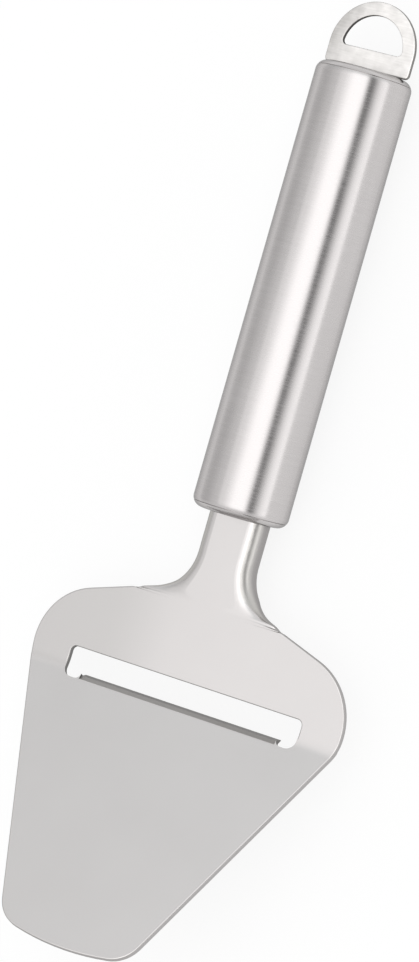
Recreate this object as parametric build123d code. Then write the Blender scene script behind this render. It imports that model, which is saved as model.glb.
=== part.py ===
from build123d import *
import os
from math import asin, cos, degrees, radians, sin, sqrt, tan

# Sizes are in millimetres and angles in degrees. The handle's axis is the Y axis, the handle's front end
# is at Y = 0, the blade points to -Y, the hanging loop points to +Y and the side that slices slide over
# is up. The finished pieces are moved to the bottom centre of the whole tool at the end.

# Handle tube, rounded over at both ends, and the two caps that plug it
HANDLE_DIAMETER = 22.0
HANDLE_LENGTH = 103.0
TUBE_WALL = 0.7
END_RADIUS = 2.5
SEAM_MARGIN = 0.6
CAP_WALL = 1.0
SPIGOT_LENGTH = 4.0
SPIGOT_WALL = 0.8
SPIGOT_CLEARANCE = 0.1
SEAM_CHAMFER = 0.12

# Blade sheet
SHEET = 1.2
BEND_DISTANCE = 42.5
BEND_ANGLE = 22.5
BEND_RADIUS = 10.0
TIP_LENGTH = 62.0
BLADE_WIDTH_AT_BEND = 80.7
TIP_END_WIDTH = 31.3
TIP_END_BOW_RADIUS = 58.0
TIP_CORNER_RADIUS = 8.0
SHOULDER_CORNER_RADIUS = 15.0
EDGE_BREAK = 0.3

# Neck, a channel with its open side down and its top above the handle's axis, and the flare where its
# flanges run out into the shoulders
NECK_WIDTH = 14.5
NECK_HEIGHT = 4.7
NECK_TOP = 2.5
NECK_CORNER_RADIUS = 3.2
TANG_LENGTH = 14.0
NECK_TO_SHOULDER = 17.6
SHOULDER_SLOPE = 17.7
FLARE_RADIUS = 11.0
FLARE_STRAIGHT = 1.5
FLANGE_END = 21.7
FLANGE_FADE_LENGTH = 10.5
FLARE_TRIM = 0.1
ROUNDING_FADE_LENGTH = 5.0
LEAST_ROUNDING = 0.2
FLARE_STATIONS = 16

# Slot and the cutting lip on its tip side
SLOT_LENGTH = 60.8
SLOT_BEFORE_BEND = 4.15
SLOT_CORNER_RADIUS = 1.3
NOTCH_DEPTH_PAST_BEND = 2.9
NOTCH_WIDTH = 4.6
NOTCH_OUTER_RADIUS = 2.2
NOTCH_INNER_RADIUS = 1.4
LIP_ANGLE = 30.0
LIP_LENGTH = 2.0
LIP_FLAT_LENGTH = 1.4
LIP_EDGE_THICKNESS = 0.15
LIP_ROOT = 2.1
LIP_FOLD_RADIUS = 1.0

# Hanging loop
LOOP_THICKNESS = 1.2
LOOP_WIDTH = 21.4
LOOP_REACH = 15.5
LOOP_RING = 3.1
LOOP_BASE = 4.6
LOOP_HOLE_CORNER_RADIUS = 1.1
LOOP_FOOT_RADIUS = 1.1
LOOP_EDGE_BREAK = 0.25
TAB_WIDTH = 12.0
TAB_LENGTH = 3.0
FIT_CLEARANCE = 0.15

# Welds inside the two caps
WELD_LEG = 0.9
SIDE_WELD_LENGTH = 1.4
TOP_WELD_LENGTH = 7.0
TAB_WELD_LENGTH = 8.0

# Two values closer than this are the same
TOLERANCE = 0.01

# How far a quarter ellipse's two handles reach, as a share of its radii
QUARTER_HANDLE = 0.5523

handle_radius = HANDLE_DIAMETER / 2
end_centre_radius = handle_radius - END_RADIUS
seam_depth = TUBE_WALL + SEAM_MARGIN
seam_rise = END_RADIUS - seam_depth
seam_radius = end_centre_radius + sqrt(END_RADIUS**2 - seam_rise**2)
tube_end_bore = end_centre_radius + sqrt((END_RADIUS - TUBE_WALL) ** 2 - seam_rise**2)
neck_half = NECK_WIDTH / 2
slope = radians(SHOULDER_SLOPE)
bend = radians(BEND_ANGLE)
slot_half = SLOT_LENGTH / 2
lip_half = slot_half - NOTCH_WIDTH

# The plan curve from the neck to the shoulder: where it leaves the neck, and its centre
flare_tangent = FLARE_RADIUS * tan((radians(90) - slope) / 2)
flare_centre_x = neck_half + FLARE_RADIUS
flare_centre_distance = NECK_TO_SHOULDER - flare_tangent
flare_start = flare_centre_distance - FLARE_STRAIGHT
# The flat sheet takes over just before the flanges have run out
flat_start = FLANGE_END - FLARE_TRIM

# The shoulder's plane and the tip's plane, each with its Y axis towards the handle along the sheet
bend_origin = (0, -BEND_DISTANCE, NECK_TOP)
shoulder_plane = Plane(origin=bend_origin, x_dir=(1, 0, 0), z_dir=(0, 0, 1))
tip_plane = Plane(origin=bend_origin, x_dir=(1, 0, 0), z_dir=(0, sin(bend), cos(bend)))
bisector_plane = Plane(
    origin=bend_origin, x_dir=(1, 0, 0), z_dir=(0, -cos(bend / 2), sin(bend / 2))
)


def cross_plane(distance):
    """The plane across the tool at a distance in front of the handle, with its Y axis up."""
    return Plane(origin=(0, -distance, 0), x_dir=(1, 0, 0), z_dir=(0, -1, 0))


def ease(value, low, high):
    """0 up to low, 1 from high on, and a smooth step between."""
    share = min(max((value - low) / (high - low), 0), 1)
    return share * share * (3 - 2 * share)


def outline_half_width(distance, inset):
    """Half the sheet's width at a distance in front of the handle, drawn in by an inset."""
    radius = FLARE_RADIUS + inset
    if distance <= flare_centre_distance:
        return neck_half - inset
    end_distance = flare_centre_distance + radius * cos(slope)
    if distance <= end_distance:
        return flare_centre_x - sqrt(radius**2 - (distance - flare_centre_distance) ** 2)
    end_x = flare_centre_x - radius * sin(slope)
    return end_x + (distance - end_distance) / tan(slope)


def outline_lean(distance, inset):
    """Sine of the angle between the sheet's outline and the X axis at a distance in front of the handle."""
    radius = FLARE_RADIUS + inset
    turn = min(max((distance - flare_centre_distance) / radius, 0), cos(slope))
    return sqrt(1 - turn**2)


def channel_rounding(distance):
    """Height of the channel's outer corner, which fades with the flanges while its width stays."""
    fade = ease(distance, flat_start - ROUNDING_FADE_LENGTH, flat_start)
    return NECK_CORNER_RADIUS + (LEAST_ROUNDING - NECK_CORNER_RADIUS) * fade


def arch_edges(distance, inset):
    """The channel's sides, corners and top in section, drawn in by an inset, from one foot to the other."""
    foot = NECK_TOP - NECK_HEIGHT
    top = NECK_TOP - inset
    rounding = max(channel_rounding(distance) - inset, LEAST_ROUNDING)
    side = top - rounding
    half_width = outline_half_width(distance, inset)
    spread = (NECK_CORNER_RADIUS - inset) / outline_lean(distance, inset)
    flat = half_width - spread
    lift = side + QUARTER_HANDLE * rounding
    reach = flat + QUARTER_HANDLE * spread
    return [
        Line((half_width, foot), (half_width, side)),
        Bezier((half_width, side), (half_width, lift), (reach, top), (flat, top)),
        Line((flat, top), (-flat, top)),
        Bezier((-flat, top), (-reach, top), (-half_width, lift), (-half_width, side)),
        Line((-half_width, side), (-half_width, foot)),
    ]


def channel_section(distance):
    """The channel's section across the tool, open downwards, at a distance in front of the handle."""
    outer = arch_edges(distance, 0)
    inner = arch_edges(distance, SHEET)
    feet = [Line(outer[0] @ 0, inner[0] @ 0), Line(outer[-1] @ 1, inner[-1] @ 1)]
    return cross_plane(distance) * make_face(outer + feet + inner)


def flange_fade():
    """The space under the flare, above which the flanges' lower edge rises to the sheet."""
    low = NECK_TOP - NECK_HEIGHT - SHEET
    high = NECK_TOP - SHEET
    start_y = FLANGE_FADE_LENGTH - FLANGE_END
    turn_y = start_y - FLANGE_FADE_LENGTH / 2
    curve = Bezier((0, start_y, low), (0, turn_y, low), (0, -FLANGE_END, high))
    beyond = Polyline(curve @ 1, (0, -FLANGE_END, low), curve @ 0)
    return extrude(make_face([curve, beyond]), BLADE_WIDTH_AT_BEND, dir=(1, 0, 0), both=True)


def make_neck():
    """The tang, the neck and the flare of the flanges, as far as the flat part of the shoulders."""
    straight = extrude(channel_section(-TANG_LENGTH), TANG_LENGTH + flare_start)
    step = (flat_start - flare_start) / FLARE_STATIONS
    flare = loft([channel_section(flare_start + step * number) for number in range(FLARE_STATIONS + 1)])
    return straight + (flare - flange_fade())


def sheet_outline():
    """The flattened sheet's outline in front of the flare, with the bend at Y = 0."""
    side_slope = (BLADE_WIDTH_AT_BEND - TIP_END_WIDTH) / 2 / TIP_LENGTH
    side_at_bend = BLADE_WIDTH_AT_BEND / 2
    start_half = outline_half_width(flat_start, 0)
    start_past_bend = flat_start - BEND_DISTANCE
    # where the shoulder's sloping edge would meet the tip's straight side
    corner_past_bend = (
        (start_past_bend / tan(slope) + side_at_bend - start_half) / (1 / tan(slope) + side_slope)
    )
    corner_x = side_at_bend - side_slope * corner_past_bend
    # where the tip's straight side would meet its bowed end
    bow_drop = TIP_END_BOW_RADIUS - sqrt(TIP_END_BOW_RADIUS**2 - (TIP_END_WIDTH / 2) ** 2)
    end_past_bend = TIP_LENGTH - bow_drop
    end_x = side_at_bend - side_slope * end_past_bend
    side = Polyline(
        (start_half, -start_past_bend), (corner_x, -corner_past_bend), (end_x, -end_past_bend)
    )
    other_side = mirror(side, about=Plane.YZ)
    top = Line(side @ 0, other_side @ 0)
    bow = ThreePointArc(side @ 1, (0, -TIP_LENGTH), other_side @ 1)
    face = make_face([side, bow, other_side, top])
    rows = face.vertices().group_by(Axis.Y)
    face = fillet(rows[0], TIP_CORNER_RADIUS)
    widest = face.vertices().sort_by(Axis.X)
    return fillet([widest[0], widest[-1]], SHOULDER_CORNER_RADIUS)


def slot_outline():
    """The slot and its two end notches on the flattened sheet, with room for the lip's fold."""
    slot_bottom = -LIP_EDGE_THICKNESS
    slot_height = SLOT_BEFORE_BEND - slot_bottom
    slot = Pos(0, slot_bottom + slot_height / 2) * Rectangle(SLOT_LENGTH, slot_height)
    slot = fillet(slot.vertices().group_by(Axis.Y)[-1], SLOT_CORNER_RADIUS)
    notch_height = NOTCH_DEPTH_PAST_BEND + SLOT_BEFORE_BEND / 2
    notch = Pos(0, notch_height / 2 - NOTCH_DEPTH_PAST_BEND) * Rectangle(NOTCH_WIDTH, notch_height)
    notch = Pos(slot_half - NOTCH_WIDTH / 2, 0) * notch
    notch = fillet(notch.vertices().group_by(Axis.Y)[0].sort_by(Axis.X)[-1], NOTCH_OUTER_RADIUS)
    notch = fillet(notch.vertices().group_by(Axis.X)[0].sort_by(Axis.Y)[0], NOTCH_INNER_RADIUS)
    fold_depth = NOTCH_DEPTH_PAST_BEND + LIP_ROOT
    fold = Pos(0, -fold_depth / 2) * Rectangle(2 * lip_half, fold_depth)
    return slot + notch + mirror(notch, about=Plane.YZ) + fold


def bent_sheet():
    """A strip of sheet, wider than the blade, with the bend between the shoulders and the tip."""
    reach = TIP_LENGTH + TIP_CORNER_RADIUS
    far_y = -BEND_DISTANCE - reach * cos(bend)
    far_z = NECK_TOP + reach * sin(bend)
    under_y = -BEND_DISTANCE - SHEET * tan(bend / 2)
    under_z = NECK_TOP - SHEET
    top = FilletPolyline(
        (0, -flat_start, NECK_TOP), bend_origin, (0, far_y, far_z), radius=BEND_RADIUS
    )
    under = FilletPolyline(
        (0, -flat_start, under_z),
        (0, under_y, under_z),
        (0, far_y - SHEET * sin(bend), far_z - SHEET * cos(bend)),
        radius=BEND_RADIUS + SHEET,
    )
    profile = make_face([top, under, Line(top @ 0, under @ 0), Line(top @ 1, under @ 1)])
    return extrude(profile, BLADE_WIDTH_AT_BEND, dir=(1, 0, 0), both=True)


def make_lip():
    """The strip between the notches, folded down and ground to an edge that faces the handle."""
    fold = -NOTCH_DEPTH_PAST_BEND
    root = fold - LIP_ROOT
    down = radians(LIP_ANGLE)
    under_fold = fold + SHEET * tan(down / 2)
    flat_end = (fold + LIP_FLAT_LENGTH * cos(down), -LIP_FLAT_LENGTH * sin(down))
    edge_under = (under_fold + LIP_LENGTH * cos(down), -SHEET - LIP_LENGTH * sin(down))
    edge_top = (
        edge_under[0] + LIP_EDGE_THICKNESS * sin(down),
        edge_under[1] + LIP_EDGE_THICKNESS * cos(down),
    )
    points = [(root, 0), (fold, 0), flat_end, edge_top, edge_under, (under_fold, -SHEET), (root, -SHEET)]
    profile = make_face(Polyline(points, close=True))
    folds = [
        corner
        for corner in profile.vertices()
        if abs(corner.X - fold) < TOLERANCE or abs(corner.X - under_fold) < TOLERANCE
    ]
    profile = fillet(folds, LIP_FOLD_RADIUS)
    side_plane = Plane(
        origin=bend_origin, x_dir=(0, cos(bend), -sin(bend)), z_dir=(1, 0, 0)
    )
    return extrude(side_plane * profile, lip_half, both=True)


def open_upper_edges(plate):
    """The edges round a sheet's upper side, but not where it meets the flare or the bend's middle."""
    upper = plate.faces().filter_by(lambda face: face.normal_at().Z > 0.5)
    edges = []
    for face in upper:
        others = [other for other in upper if other is not face]
        for edge in face.outer_wire().edges():
            middle = edge @ 0.5
            at_flare = abs(middle.Y + flat_start) < TOLERANCE
            at_bend = abs(bisector_plane.to_local_coords(middle).Z) < TOLERANCE
            inside = any(other.distance_to(middle) < TOLERANCE for other in others)
            if not (at_flare or at_bend or inside):
                edges.append(edge)
    return edges


def slot_upper_edges(shoulders):
    """The slot's upper edge behind the bend."""
    edges = []
    for edge in open_upper_edges(shoulders):
        middle = edge @ 0.5
        across = abs(middle.X) < slot_half + TOLERANCE
        along = middle.Y + BEND_DISTANCE < SLOT_BEFORE_BEND + TOLERANCE
        if across and along:
            edges.append(edge)
    return edges


def half_sheet(plane, side):
    """The shoulders or the tip plate, cut to the outline and the slot, with its outer upper edge rounded."""
    cut_depth = 2 * SHEET + NECK_HEIGHT
    half = split(bent_sheet(), bisect_by=bisector_plane, keep=side)
    half &= extrude(plane * sheet_outline(), cut_depth, both=True)
    half = fillet(open_upper_edges(half), EDGE_BREAK)
    return half - extrude(plane * slot_outline(), cut_depth, both=True)


def make_blade():
    """The whole stamping: tang, neck, shoulders, slot, lip and tip."""
    shoulders = half_sheet(shoulder_plane, Keep.BOTTOM)
    shoulders = fillet(slot_upper_edges(shoulders), EDGE_BREAK)
    return make_neck() + shoulders + half_sheet(tip_plane, Keep.TOP) + make_lip()


def seam_edges(piece, depths):
    """The circular edges of the seams at some distances from the handle's front end."""
    circles = piece.edges().filter_by(GeomType.CIRCLE)
    outer = circles.filter_by(lambda edge: abs(edge.radius - seam_radius) < TOLERANCE)
    return [edge for edge in outer if min(abs(edge.center().Y - depth) for depth in depths) < TOLERANCE]


def cap_body():
    """A cap that continues the tube's rounded end, its face at Y = 0 and its spigot towards +Y."""
    spigot_radius = tube_end_bore - SPIGOT_CLEARANCE
    spigot_end = seam_depth + SPIGOT_LENGTH
    bore_radius = spigot_radius - SPIGOT_WALL
    seam_angle = degrees(asin(seam_rise / END_RADIUS))
    edge = CenterArc((end_centre_radius, END_RADIUS), END_RADIUS, -90, 90 - seam_angle)
    rest = Polyline(
        edge @ 1,
        (spigot_radius, seam_depth),
        (spigot_radius, spigot_end),
        (bore_radius, spigot_end),
        (bore_radius, CAP_WALL),
        (0, CAP_WALL),
        (0, 0),
        edge @ 0,
    )
    body = revolve(make_face([edge, rest]), Axis.Y)
    return chamfer(seam_edges(body, [seam_depth]), SEAM_CHAMFER)


def make_front_cap():
    """The front cap, with the opening that the neck goes through."""
    width = NECK_WIDTH + 2 * FIT_CLEARANCE
    height = NECK_HEIGHT + 2 * FIT_CLEARANCE
    opening = Pos(0, NECK_TOP - NECK_HEIGHT / 2) * Rectangle(width, height)
    opening = fillet(opening.vertices().group_by(Axis.Y)[-1], NECK_CORNER_RADIUS + FIT_CLEARANCE)
    return cap_body() - extrude(cross_plane(0) * opening, 2 * CAP_WALL, both=True)


def make_rear_cap():
    """The rear cap, with the opening that the loop's tab goes through."""
    opening = Rectangle(TAB_WIDTH + 2 * FIT_CLEARANCE, LOOP_THICKNESS + 2 * FIT_CLEARANCE)
    cap = cap_body() - extrude(cross_plane(0) * opening, 2 * CAP_WALL, both=True)
    return Pos(0, HANDLE_LENGTH, 0) * Rot(0, 0, 180) * cap


def make_handle_tube():
    """The round tube, with its two ends rounded over towards the caps."""
    inner_radius = END_RADIUS - TUBE_WALL
    outer_angle = degrees(asin(seam_rise / END_RADIUS))
    inner_angle = degrees(asin(seam_rise / inner_radius))
    front_centre = (end_centre_radius, END_RADIUS)
    rear_centre = (end_centre_radius, HANDLE_LENGTH - END_RADIUS)
    front_outer = CenterArc(front_centre, END_RADIUS, -outer_angle, outer_angle)
    front_inner = CenterArc(front_centre, inner_radius, -inner_angle, inner_angle)
    rear_outer = CenterArc(rear_centre, END_RADIUS, 0, outer_angle)
    rear_inner = CenterArc(rear_centre, inner_radius, 0, inner_angle)
    sides = [
        front_outer,
        Line(front_outer @ 1, rear_outer @ 0),
        rear_outer,
        Line(rear_outer @ 1, rear_inner @ 1),
        rear_inner,
        Line(rear_inner @ 0, front_inner @ 1),
        front_inner,
        Line(front_inner @ 0, front_outer @ 0),
    ]
    tube = revolve(make_face(sides), Axis.Y)
    seams = seam_edges(tube, [seam_depth, HANDLE_LENGTH - seam_depth])
    return chamfer(seams, SEAM_CHAMFER)


def make_hanging_loop():
    """A flat D-shaped plate with a D-shaped hole, and the tab that goes into the rear cap."""
    outer_radius = LOOP_WIDTH / 2
    arch_centre = LOOP_REACH - outer_radius
    hole_radius = outer_radius - LOOP_RING
    plate = Pos(0, arch_centre) * Circle(outer_radius)
    plate -= Pos(0, arch_centre - outer_radius) * Rectangle(2 * LOOP_WIDTH, 2 * outer_radius)
    foot = Pos(0, arch_centre / 2) * Rectangle(LOOP_WIDTH, arch_centre)
    foot = fillet(foot.vertices().group_by(Axis.Y)[0], LOOP_FOOT_RADIUS)
    tab = Pos(0, -TAB_LENGTH / 2) * Rectangle(TAB_WIDTH, TAB_LENGTH)
    hole = Pos(0, arch_centre) * Circle(hole_radius)
    hole -= Pos(0, LOOP_BASE - LOOP_WIDTH) * Rectangle(2 * LOOP_WIDTH, 2 * LOOP_WIDTH)
    hole = fillet(hole.vertices(), LOOP_HOLE_CORNER_RADIUS)
    loop = extrude(plate + foot - hole, LOOP_THICKNESS / 2, both=True)
    faces = loop.faces().filter_by(Axis.Z)
    loop = fillet(faces.edges(), LOOP_EDGE_BREAK)
    loop += extrude(tab, LOOP_THICKNESS / 2, both=True)
    return Pos(0, HANDLE_LENGTH, 0) * loop


def weld_run(length):
    """A fillet weld along Z, in the corner between the faces X = 0 and Y = 0."""
    bead = Circle(WELD_LEG) & Pos(WELD_LEG, WELD_LEG) * Rectangle(2 * WELD_LEG, 2 * WELD_LEG)
    return extrude(bead, length / 2, both=True)


def make_tang_welds():
    """Three runs inside the front cap: one on each flange of the tang and one on its top."""
    flange_middle = NECK_TOP - (NECK_HEIGHT + NECK_CORNER_RADIUS) / 2
    side = Pos(neck_half, CAP_WALL, flange_middle) * weld_run(SIDE_WELD_LENGTH)
    top = Pos(0, CAP_WALL, NECK_TOP) * Rot(0, -90, 0) * weld_run(TOP_WELD_LENGTH)
    return Compound(children=[side, mirror(side, about=Plane.YZ), top])


def make_loop_welds():
    """Two runs inside the rear cap, above and below the loop's tab."""
    inner_face = HANDLE_LENGTH - CAP_WALL
    run = Rot(0, -90, 0) * weld_run(TAB_WELD_LENGTH)
    above = Pos(0, inner_face, LOOP_THICKNESS / 2) * mirror(run, about=Plane.XZ)
    return Compound(children=[above, mirror(above, about=Plane.XY)])


def main():
    pieces = {
        "blade": make_blade(),
        "handle_tube": make_handle_tube(),
        "front_cap": make_front_cap(),
        "rear_cap": make_rear_cap(),
        "hanging_loop": make_hanging_loop(),
        "tang_welds": make_tang_welds(),
        "loop_welds": make_loop_welds(),
    }
    boxes = [piece.bounding_box() for piece in pieces.values()]
    low_y = min(box.min.Y for box in boxes)
    high_y = max(box.max.Y for box in boxes)
    low_z = min(box.min.Z for box in boxes)
    to_origin = Pos(0, -(low_y + high_y) / 2, -low_z)
    os.makedirs("parts", exist_ok=True)
    for name, piece in pieces.items():
        export_step(to_origin * piece, "parts/" + name + ".step")
    print("moved by", to_origin.position)


main()
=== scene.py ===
import bpy
import math
from mathutils import Matrix, Vector


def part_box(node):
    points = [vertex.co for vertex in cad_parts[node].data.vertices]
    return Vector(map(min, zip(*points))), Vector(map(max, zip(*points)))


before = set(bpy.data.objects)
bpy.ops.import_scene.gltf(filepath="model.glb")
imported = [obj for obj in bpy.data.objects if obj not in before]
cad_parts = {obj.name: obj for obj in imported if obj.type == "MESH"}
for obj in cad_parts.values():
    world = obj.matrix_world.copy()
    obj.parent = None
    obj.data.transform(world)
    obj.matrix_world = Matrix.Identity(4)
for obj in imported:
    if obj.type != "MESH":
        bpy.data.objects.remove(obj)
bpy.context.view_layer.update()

# Everything is in metres, in the part's own frame: +Y along the handle to the hanging loop, +Z up
MM = 0.001
ACROSS = (1, 0, 0)
ALONG = (0, 1, 0)
UP = (0, 0, 1)

# The camera: a long lens above the tool, turned to the handle's slant
SENSOR_MM = 36.0
VIEW_ANGLE = math.radians(12.877)
CAMERA_ROLL = math.radians(15.951)
CAMERA_PITCH = math.radians(1.893)
CAMERA_SIDE = math.radians(28.175)
CAMERA_DISTANCE = 947.35 * MM
# The handle's front end lies this far to the right of the view's middle, and below it
FRONT_END_RIGHT = 6.424 * MM
FRONT_END_BELOW = 8.084 * MM

# The floor, and how much of its white is its own
FLOOR_SIZE = 40.0
FLOOR_COLOUR = (0.95, 0.95, 0.95, 1.0)
FLOOR_GLOW_SHARE = 0.84

# How bright the studio is at an angle from straight above, in degrees towards +X
STUDIO_STRENGTH = 1.29
STUDIO_LEVELS = (
    (-90, 0.66),
    (-80, 0.54),
    (-68, 0.50),
    (-58, 0.54),
    (-45, 0.64),
    (-32, 0.68),
    (-28.5, 0.89),
    (-19, 0.89),
    (-8, 1.10),
    (5, 1.38),
    (35, 1.42),
    (41, 0.68),
    (45.5, 0.13),
    (53, 0.17),
    (61, 0.56),
    (71, 1.00),
    (84, 1.25),
    (90, 1.30),
)
# How much of that is left at a share of the way towards -Y or +Y
STUDIO_ENDS = (
    (-1.0, (0.80, 0.80, 0.80)),
    (-0.3, (1.0, 1.0, 1.0)),
    (0.3, (1.0, 1.0, 1.0)),
    (0.62, (0.87, 0.89, 0.895)),
    (1.0, (0.92, 0.92, 0.92)),
)
# The even light of the studio's two ends, and how much of it there is at a share of the way to -Y or +Y
STUDIO_END_LEVEL = 0.75
STUDIO_END_SHARES = (
    (-1.0, 1.0),
    (-0.6, 0.9),
    (-0.3, 0.0),
    (0.45, 0.0),
    (0.75, 0.9),
    (1.0, 1.0),
)

# All the steels: their tint at a grazing angle, the range of the noise that a pattern spreads over 0 to 1,
# the depth of brush marks, and how rough a cut edge is
STEEL_EDGE_TINT = (0.5, 0.5, 0.5, 1)
NOISE_RANGE = (0.3, 0.7)
BRUSH_DEPTH = 0.002 * MM
CUT_ROUGHNESS = 0.5

# Each pattern is its grains to the metre along X, Y and Z, and its detail. A pair of colours or of
# roughnesses is for a pattern's low and high end.
HANDLE_STREAKS = ((160, 2600, 160), 3)
HANDLE_CLOUDS = ((60, 90, 60), 2)
HANDLE_CLOUD_SHARE = 0.4
HANDLE_COLOURS = ((0.567, 0.545, 0.542, 1), (0.620, 0.597, 0.594, 1))
HANDLE_ROUGHNESS = (0.21, 0.33)
HANDLE_ANISOTROPY = 0.65
QUARTER_TURN = 0.25

CAP_MARKS = ((300, 1500, 300), 2)
CAP_COLOURS = ((0.57, 0.551, 0.547, 1), (0.62, 0.60, 0.597, 1))
CAP_ROUGHNESS = (0.18, 0.26)

BLADE_CLOUDS = ((55, 55, 55), 3)
BLADE_GRAIN = ((2500, 2500, 2500), 2)
BLADE_GRAIN_DEPTH = 0.0005 * MM
BLADE_COLOURS = ((0.688, 0.664, 0.658, 1), (0.704, 0.680, 0.674, 1))
BLADE_ROUGHNESS = (0.17, 0.22)
# Painted shade: this darker colour is painted on one shoulder of the blade
SHADED_SHOULDER_COLOUR = (0.605, 0.587, 0.580, 1)
FORMED_COLOUR = (0.56, 0.545, 0.525, 1)
FORMED_ROUGHNESS = 0.32
GROUND_COLOUR = (0.46, 0.445, 0.435, 1)
GROUND_ROUGHNESS = 0.45
# Painted shade: darker colours painted on the neck flanks, the cut edges and, darkest, the slot's edges
SHADED_FLANK_COLOUR = (0.42, 0.405, 0.40, 1)
SHADED_OUTLINE_COLOUR = (0.50, 0.485, 0.48, 1)
SHADED_SLOT_EDGE_COLOUR = (0.24, 0.235, 0.23, 1)

LOOP_MOTTLE = ((420, 420, 420), 4)
LOOP_STREAKS = ((300, 3000, 300), 3)
LOOP_STREAK_SHARE = 0.4
# The loop's pair of colours spans its random mottle and its painted light
LOOP_COLOURS = ((0.42, 0.408, 0.395, 1), (1.0, 0.975, 0.955, 1))
# Painted shade: dark colours painted on the loop's cut edges and along its foot
LOOP_SHADED_EDGE_COLOURS = ((0.10, 0.096, 0.092, 1), (0.30, 0.29, 0.28, 1))
LOOP_ROUGHNESS = (0.34, 0.46)

WELD_RIPPLES = ((1500, 1500, 1500), 2)
WELD_COLOURS = ((0.30, 0.28, 0.27, 1), (0.50, 0.48, 0.46, 1))
WELD_ROUGHNESS = (0.35, 0.5)
WELD_RIPPLE_DEPTH = 0.02 * MM

# A kind of face starts where the cosine of its angle to the sheet's flat faces is the first value, and is
# that kind all over at the second
FORMED_LEAN = (0.95, 0.90)
CUT_LEAN = (0.75, 0.40)
FLANK_LEAN = (0.60, 0.25)

# The neck gives way to the flat plate between these distances before the handle
NECK_REACH = (18 * MM, 22 * MM)
# The blade's bend: how far before the handle it is, and its angle
BEND_DISTANCE = 42.5 * MM
BEND_ANGLE = math.radians(22.5)
# The slot, whose edges get darker painted shade than the blade's outline, lies this near the middle and
# the bend
SLOT_REACH_ACROSS = 34 * MM
SLOT_REACH_ALONG = 6 * MM
SLOT_REACH_FADE = 1 * MM
# Painted shade: one shoulder gets darker from the first place across the blade to the second, and the
# painted shade ends at the bend, over this length
SHADE_ACROSS = (-4 * MM, -24 * MM)
SHADE_FADE = 1.5 * MM

# Painted light: the loop gets paler along this direction, between these distances from the middle of its
# foot, and this share of its colour comes from that painted light
LOOP_PAINTED_LIGHT = (0.95, -0.31, 0)
LOOP_PAINTED_LIGHT_REACH = (-14 * MM, -3 * MM)
LOOP_PAINTED_LIGHT_SHARE = 0.58
# Painted shadow: the dark line where the loop meets the handle starts and is full at these distances from
# the handle
LOOP_FOOT_SHADOW = (0.45 * MM, 0.25 * MM)
# The painted shade on the loop's cut edges gets lighter from this share of its half width on the left to
# this one on the right
LOOP_EDGE_DARK = 1 / 6
LOOP_EDGE_LIGHT = 1 / 2


def handle_front_end():
    """The centre of the handle's front end, on its axis."""
    cap_low, cap_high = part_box("front_cap")
    return Vector((0.0, cap_low.y, (cap_low.z + cap_high.z) / 2))


def set_view():
    """Show each colour as it is written."""
    bpy.context.scene.view_settings.view_transform = "Standard"


def make_camera():
    side = Matrix.Rotation(CAMERA_SIDE, 3, "Y")
    pitch = Matrix.Rotation(-CAMERA_PITCH, 3, "X")
    roll = Matrix.Rotation(CAMERA_ROLL, 3, "Z")
    turn = side @ pitch @ roll
    data = bpy.data.cameras.new("camera")
    data.sensor_width = SENSOR_MM
    data.lens = SENSOR_MM / 2 / math.tan(VIEW_ANGLE / 2)
    camera = bpy.data.objects.new("camera", data)
    bpy.context.scene.collection.objects.link(camera)
    offset = Vector((-FRONT_END_RIGHT, FRONT_END_BELOW, CAMERA_DISTANCE))
    camera.matrix_world = Matrix.Translation(handle_front_end() + turn @ offset) @ turn.to_4x4()
    bpy.context.scene.camera = camera


def feed(links, value, socket):
    """Link another node's output to a socket, or set the socket to a constant."""
    if isinstance(value, bpy.types.NodeSocket):
        links.new(value, socket)
    else:
        socket.default_value = value


def calculate(nodes, links, operation, *values):
    """The result of a math operation on one or two numbers."""
    node = nodes.new("ShaderNodeMath")
    node.operation = operation
    for value, socket in zip(values, node.inputs):
        feed(links, value, socket)
    return node.outputs[0]


def map_range(nodes, links, value, start, end, low=0, high=1, interpolation="LINEAR"):
    """A number that goes from low to high as value goes from start to end."""
    node = nodes.new("ShaderNodeMapRange")
    node.interpolation_type = interpolation
    node.inputs["From Min"].default_value = start
    node.inputs["From Max"].default_value = end
    node.inputs["To Min"].default_value = low
    node.inputs["To Max"].default_value = high
    links.new(value, node.inputs["Value"])
    return node.outputs[0]


def mix_numbers(nodes, links, first, second, share):
    """The first number, which gives way to the second by a share."""
    node = nodes.new("ShaderNodeMix")
    feed(links, first, node.inputs["A"])
    feed(links, second, node.inputs["B"])
    feed(links, share, node.inputs["Factor"])
    return node.outputs["Result"]


def mix_colours(nodes, links, first, second, share, blend_type="MIX"):
    """The first colour, which gives way to the second by a share, or is multiplied by it."""
    node = nodes.new("ShaderNodeMix")
    node.data_type = "RGBA"
    node.blend_type = blend_type
    feed(links, first, node.inputs["A"])
    feed(links, second, node.inputs["B"])
    feed(links, share, node.inputs["Factor"])
    return node.outputs["Result"]


def dot_product(nodes, links, vector, direction):
    node = nodes.new("ShaderNodeVectorMath")
    node.operation = "DOT_PRODUCT"
    node.inputs[1].default_value = direction
    links.new(vector, node.inputs[0])
    return node.outputs["Value"]


def coordinate(nodes, kind):
    """A point's place (Object) or facing (Normal) on its object, or the sky's direction (Generated)."""
    return nodes.new("ShaderNodeTexCoord").outputs[kind]


def new_material(name):
    material = bpy.data.materials.new(name)
    material.use_nodes = True
    material.node_tree.nodes.clear()
    return material, material.node_tree.nodes, material.node_tree.links


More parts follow.
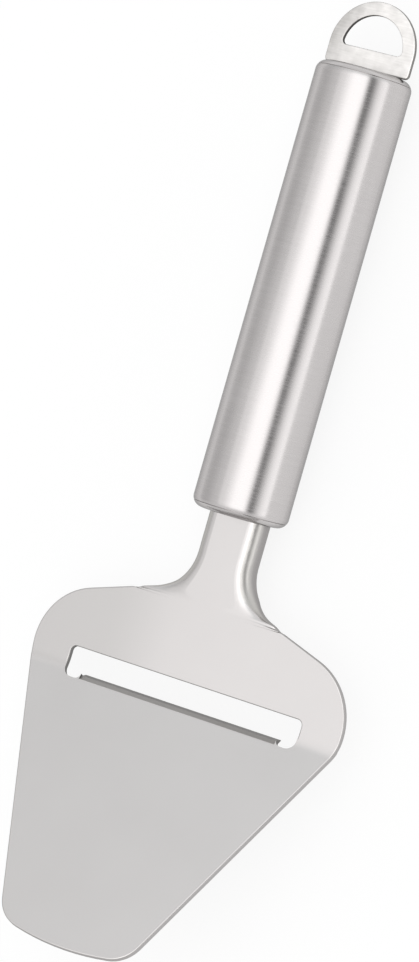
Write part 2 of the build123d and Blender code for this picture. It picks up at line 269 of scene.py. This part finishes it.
def floor_material():
    """A white floor that keeps a soft shadow: part of its white is its own, for eye and steel alike."""
    material, nodes, links = new_material("floor_white")
    out = nodes.new("ShaderNodeOutputMaterial")
    lit = nodes.new("ShaderNodeBsdfDiffuse")
    lit.inputs["Color"].default_value = FLOOR_COLOUR
    glow = nodes.new("ShaderNodeEmission")
    rays = nodes.new("ShaderNodeLightPath").outputs
    eye_or_steel = calculate(nodes, links, "MAXIMUM", rays["Is Camera Ray"], rays["Is Glossy Ray"])
    seen = calculate(nodes, links, "MAXIMUM", eye_or_steel, rays["Is Transmission Ray"])
    mix = nodes.new("ShaderNodeMixShader")
    links.new(calculate(nodes, links, "MULTIPLY", seen, FLOOR_GLOW_SHARE), mix.inputs["Fac"])
    links.new(lit.outputs[0], mix.inputs[1])
    links.new(glow.outputs[0], mix.inputs[2])
    links.new(mix.outputs[0], out.inputs["Surface"])
    return material


def make_floor():
    mesh = bpy.data.meshes.new("floor")
    half = FLOOR_SIZE / 2
    corners = [(-half, -half, 0), (half, -half, 0), (half, half, 0), (-half, half, 0)]
    mesh.from_pydata(corners, [], [(0, 1, 2, 3)])
    floor = bpy.data.objects.new("floor", mesh)
    floor.data.materials.append(floor_material())
    bpy.context.scene.collection.objects.link(floor)


def grey(level):
    return (level, level, level)


def colour_ramp(nodes, links, value, stops):
    """A colour that runs through (place, colour) stops as value goes from 0 to 1."""
    node = nodes.new("ShaderNodeValToRGB")
    elements = node.color_ramp.elements
    elements.remove(elements[-1])
    for place, colour in stops[1:]:
        elements.new(place)
    for element, (place, colour) in zip(elements, stops):
        element.color = (*colour, 1)
    links.new(value, node.inputs[0])
    return node.outputs[0]


def make_studio():
    """Soft light from all round, brightest above the handle, with a dark gap beside the brightest part."""
    world = bpy.data.worlds.new("studio")
    world.use_nodes = True
    bpy.context.scene.world = world
    nodes = world.node_tree.nodes
    links = world.node_tree.links
    split = nodes.new("ShaderNodeSeparateXYZ")
    links.new(coordinate(nodes, "Generated"), split.inputs[0])
    angle = calculate(nodes, links, "ARCTAN2", split.outputs["X"], split.outputs["Z"])
    across = map_range(nodes, links, angle, -math.pi / 2, math.pi / 2)
    along = map_range(nodes, links, split.outputs["Y"], -1, 1)

    # Levels are held as shares of the top one, and the strength brings them back
    top = max(level for degrees, level in STUDIO_LEVELS)
    level_stops = [((degrees + 90) / 180, grey(level / top)) for degrees, level in STUDIO_LEVELS]
    end_stops = [((share + 1) / 2, colour) for share, colour in STUDIO_ENDS]
    even_stops = [((share + 1) / 2, grey(even)) for share, even in STUDIO_END_SHARES]
    levels = colour_ramp(nodes, links, across, level_stops)
    ends = colour_ramp(nodes, links, along, end_stops)
    even_share = colour_ramp(nodes, links, along, even_stops)

    even_light = (*grey(STUDIO_END_LEVEL / top), 1)
    evened = mix_colours(nodes, links, levels, even_light, even_share)
    light = mix_colours(nodes, links, evened, ends, 1, "MULTIPLY")
    background = nodes["Background"]
    background.inputs["Strength"].default_value = STUDIO_STRENGTH * top
    links.new(light, background.inputs["Color"])


def pattern(nodes, links, grains_per_metre, detail):
    """Soft noise from 0 to 1 that stays on the object."""
    stretch = nodes.new("ShaderNodeVectorMath")
    stretch.operation = "MULTIPLY"
    stretch.inputs[1].default_value = grains_per_metre
    noise = nodes.new("ShaderNodeTexNoise")
    noise.inputs["Scale"].default_value = 1
    noise.inputs["Detail"].default_value = detail
    links.new(coordinate(nodes, "Object"), stretch.inputs[0])
    links.new(stretch.outputs[0], noise.inputs["Vector"])
    return map_range(nodes, links, noise.outputs["Fac"], *NOISE_RANGE)


def ramp_along(nodes, links, direction, start, end):
    """0 at start and 1 at end, smoothly, along a direction through the object's origin."""
    place = dot_product(nodes, links, coordinate(nodes, "Object"), direction)
    return map_range(nodes, links, place, start, end, interpolation="SMOOTHSTEP")


def near(nodes, links, direction, middle, reach):
    """1 within a reach of a place along a direction, and 0 outside it."""
    fade = SLOT_REACH_FADE
    after_start = ramp_along(nodes, links, direction, middle - reach, middle - reach + fade)
    before_end = ramp_along(nodes, links, direction, middle + reach, middle + reach - fade)
    return calculate(nodes, links, "MULTIPLY", after_start, before_end)


def leaning(nodes, links, facings, limits):
    """1 where a surface leans away from each of the facings, and 0 where it looks along one of them."""
    nearest = 0
    for facing in facings:
        cosine = dot_product(nodes, links, coordinate(nodes, "Normal"), facing)
        size = calculate(nodes, links, "ABSOLUTE", cosine)
        nearest = calculate(nodes, links, "MAXIMUM", nearest, size)
    return map_range(nodes, links, nearest, *limits)


def add_bump(nodes, links, shader, height, depth):
    bump = nodes.new("ShaderNodeBump")
    bump.inputs["Distance"].default_value = depth
    links.new(height, bump.inputs["Height"])
    links.new(bump.outputs[0], shader.inputs["Normal"])


def new_steel(name):
    material, nodes, links = new_material(name)
    out = nodes.new("ShaderNodeOutputMaterial")
    shader = nodes.new("ShaderNodeBsdfPrincipled")
    shader.inputs["Metallic"].default_value = 1.0
    shader.inputs["Specular Tint"].default_value = STEEL_EDGE_TINT
    links.new(shader.outputs[0], out.inputs[0])
    return material, nodes, links, shader


def handle_steel():
    """Steel brushed round the tube: sharp across the handle, blurred along it, with fine streaks."""
    material, nodes, links, shader = new_steel("handle_steel")
    streaks = pattern(nodes, links, *HANDLE_STREAKS)
    clouds = pattern(nodes, links, *HANDLE_CLOUDS)
    wear = mix_numbers(nodes, links, streaks, clouds, HANDLE_CLOUD_SHARE)
    links.new(mix_colours(nodes, links, *HANDLE_COLOURS, wear), shader.inputs["Base Color"])
    links.new(map_range(nodes, links, wear, 0, 1, *HANDLE_ROUGHNESS), shader.inputs["Roughness"])
    add_bump(nodes, links, shader, streaks, BRUSH_DEPTH)
    shader.inputs["Anisotropic"].default_value = HANDLE_ANISOTROPY
    shader.inputs["Anisotropic Rotation"].default_value = QUARTER_TURN
    tangent = nodes.new("ShaderNodeTangent")
    tangent.direction_type = "RADIAL"
    tangent.axis = "Y"
    links.new(tangent.outputs[0], shader.inputs["Tangent"])
    return material


def cap_steel():
    """Smooth steel with faint turning marks."""
    material, nodes, links, shader = new_steel("cap_steel")
    wear = pattern(nodes, links, *CAP_MARKS)
    links.new(mix_colours(nodes, links, *CAP_COLOURS, wear), shader.inputs["Base Color"])
    links.new(map_range(nodes, links, wear, 0, 1, *CAP_ROUGHNESS), shader.inputs["Roughness"])
    return material


def blade_zones(nodes, links):
    """Where the blade's painted-shade shoulder, formed and ground faces, neck flanks and cut edges are;
    the flanks and edges are rougher and take painted shade.
    """
    front_end = handle_front_end().y
    bend = front_end - BEND_DISTANCE
    neck_end = [front_end - distance for distance in NECK_REACH]
    plate = ramp_along(nodes, links, ALONG, *neck_end)
    neck = ramp_along(nodes, links, ALONG, *reversed(neck_end))
    facings = [UP, (0, math.sin(BEND_ANGLE), math.cos(BEND_ANGLE))]
    formed = leaning(nodes, links, facings, FORMED_LEAN)
    rough_shaded_flank = leaning(nodes, links, facings, FLANK_LEAN)
    cut = leaning(nodes, links, facings, CUT_LEAN)
    near_middle = near(nodes, links, ACROSS, 0, SLOT_REACH_ACROSS)
    near_bend = near(nodes, links, ALONG, bend, SLOT_REACH_ALONG)
    shoulder = ramp_along(nodes, links, ALONG, bend - SHADE_FADE, bend)
    painted_shade_side = ramp_along(nodes, links, ACROSS, *SHADE_ACROSS)

    def both(first, second):
        return calculate(nodes, links, "MULTIPLY", first, second)

    edge = both(cut, plate)
    return {
        "shaded_shoulder": both(painted_shade_side, shoulder),
        "formed": formed,
        "ground": both(formed, plate),
        "rough_shaded_flank": both(rough_shaded_flank, neck),
        "edge": edge,
        "slot_edge": both(edge, both(near_middle, near_bend)),
    }


def blade_steel():
    """Fine satin sheet with painted shade towards one shoulder, a rougher ground lip, and rougher cut
    edges, neck flanks and slot edges darkened with painted shade.
    """
    material, nodes, links, shader = new_steel("blade_steel")
    clouds = pattern(nodes, links, *BLADE_CLOUDS)
    grain = pattern(nodes, links, *BLADE_GRAIN)
    zones = blade_zones(nodes, links)
    colour = mix_colours(nodes, links, *BLADE_COLOURS, clouds)
    # Painted shade darkens one shoulder
    colour = mix_colours(nodes, links, colour, SHADED_SHOULDER_COLOUR, zones["shaded_shoulder"])
    colour = mix_colours(nodes, links, colour, FORMED_COLOUR, zones["formed"])
    colour = mix_colours(nodes, links, colour, GROUND_COLOUR, zones["ground"])
    # Painted shade on the neck flanks, cut edges and slot edges; their roughness below is real
    colour = mix_colours(nodes, links, colour, SHADED_FLANK_COLOUR, zones["rough_shaded_flank"])
    colour = mix_colours(nodes, links, colour, SHADED_OUTLINE_COLOUR, zones["edge"])
    colour = mix_colours(nodes, links, colour, SHADED_SLOT_EDGE_COLOUR, zones["slot_edge"])
    links.new(colour, shader.inputs["Base Color"])
    rough = map_range(nodes, links, grain, 0, 1, *BLADE_ROUGHNESS)
    rough = mix_numbers(nodes, links, rough, FORMED_ROUGHNESS, zones["formed"])
    rough = mix_numbers(nodes, links, rough, GROUND_ROUGHNESS, zones["ground"])
    rough = mix_numbers(nodes, links, rough, CUT_ROUGHNESS, zones["rough_shaded_flank"])
    rough = mix_numbers(nodes, links, rough, CUT_ROUGHNESS, zones["edge"])
    links.new(rough, shader.inputs["Roughness"])
    add_bump(nodes, links, shader, grain, BLADE_GRAIN_DEPTH)
    return material


def loop_steel():
    """A rougher brushed plate, mottled dark and pale, paler towards one side with painted light, with
    rougher cut edges darkened by painted shade and a painted shadow along its foot.
    """
    material, nodes, links, shader = new_steel("loop_steel")
    mottle = pattern(nodes, links, *LOOP_MOTTLE)
    streaks = pattern(nodes, links, *LOOP_STREAKS)
    wear = mix_numbers(nodes, links, mottle, streaks, LOOP_STREAK_SHARE)
    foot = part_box("rear_cap")[1].y
    foot_middle = Vector((0, foot, 0)).dot(LOOP_PAINTED_LIGHT)
    painted_light_reach = [foot_middle + distance for distance in LOOP_PAINTED_LIGHT_REACH]
    # Painted light: the plate gets paler towards one side
    painted_light = ramp_along(nodes, links, LOOP_PAINTED_LIGHT, *painted_light_reach)
    wear_and_painted_light = mix_numbers(nodes, links, wear, painted_light, LOOP_PAINTED_LIGHT_SHARE)
    plate = mix_colours(nodes, links, *LOOP_COLOURS, wear_and_painted_light)

    # Painted shadow along the foot, and painted shade on the cut edges, lighter to the right; the
    # roughness is real
    foot_shadow = ramp_along(nodes, links, ALONG, *[foot + distance for distance in LOOP_FOOT_SHADOW])
    cut = leaning(nodes, links, [UP], CUT_LEAN)
    edge = calculate(nodes, links, "MAXIMUM", cut, foot_shadow)
    loop_low, loop_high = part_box("hanging_loop")
    dark_end = loop_low.x * LOOP_EDGE_DARK
    light_end = loop_high.x * LOOP_EDGE_LIGHT
    light_side = ramp_along(nodes, links, ACROSS, dark_end, light_end)
    edge_colour = mix_colours(nodes, links, *LOOP_SHADED_EDGE_COLOURS, light_side)
    links.new(mix_colours(nodes, links, plate, edge_colour, edge), shader.inputs["Base Color"])
    brushed = map_range(nodes, links, streaks, 0, 1, *LOOP_ROUGHNESS)
    links.new(mix_numbers(nodes, links, brushed, CUT_ROUGHNESS, edge), shader.inputs["Roughness"])
    add_bump(nodes, links, shader, streaks, BRUSH_DEPTH)
    return material


def weld_steel():
    """Raw weld bead: darker, with small ripples."""
    material, nodes, links, shader = new_steel("weld_steel")
    ripples = pattern(nodes, links, *WELD_RIPPLES)
    links.new(mix_colours(nodes, links, *WELD_COLOURS, ripples), shader.inputs["Base Color"])
    links.new(map_range(nodes, links, ripples, 0, 1, *WELD_ROUGHNESS), shader.inputs["Roughness"])
    add_bump(nodes, links, shader, ripples, WELD_RIPPLE_DEPTH)
    return material


def dress_nodes():
    """Give each piece its finish."""
    cap = cap_steel()
    weld = weld_steel()
    finishes = {
        "blade": blade_steel(),
        "handle_tube": handle_steel(),
        "front_cap": cap,
        "rear_cap": cap,
        "hanging_loop": loop_steel(),
        "tang_welds": weld,
        "loop_welds": weld,
    }
    for name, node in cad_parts.items():
        for slot in node.material_slots:
            slot.material = finishes[name]


set_view()
make_camera()
make_floor()
make_studio()
dress_nodes()
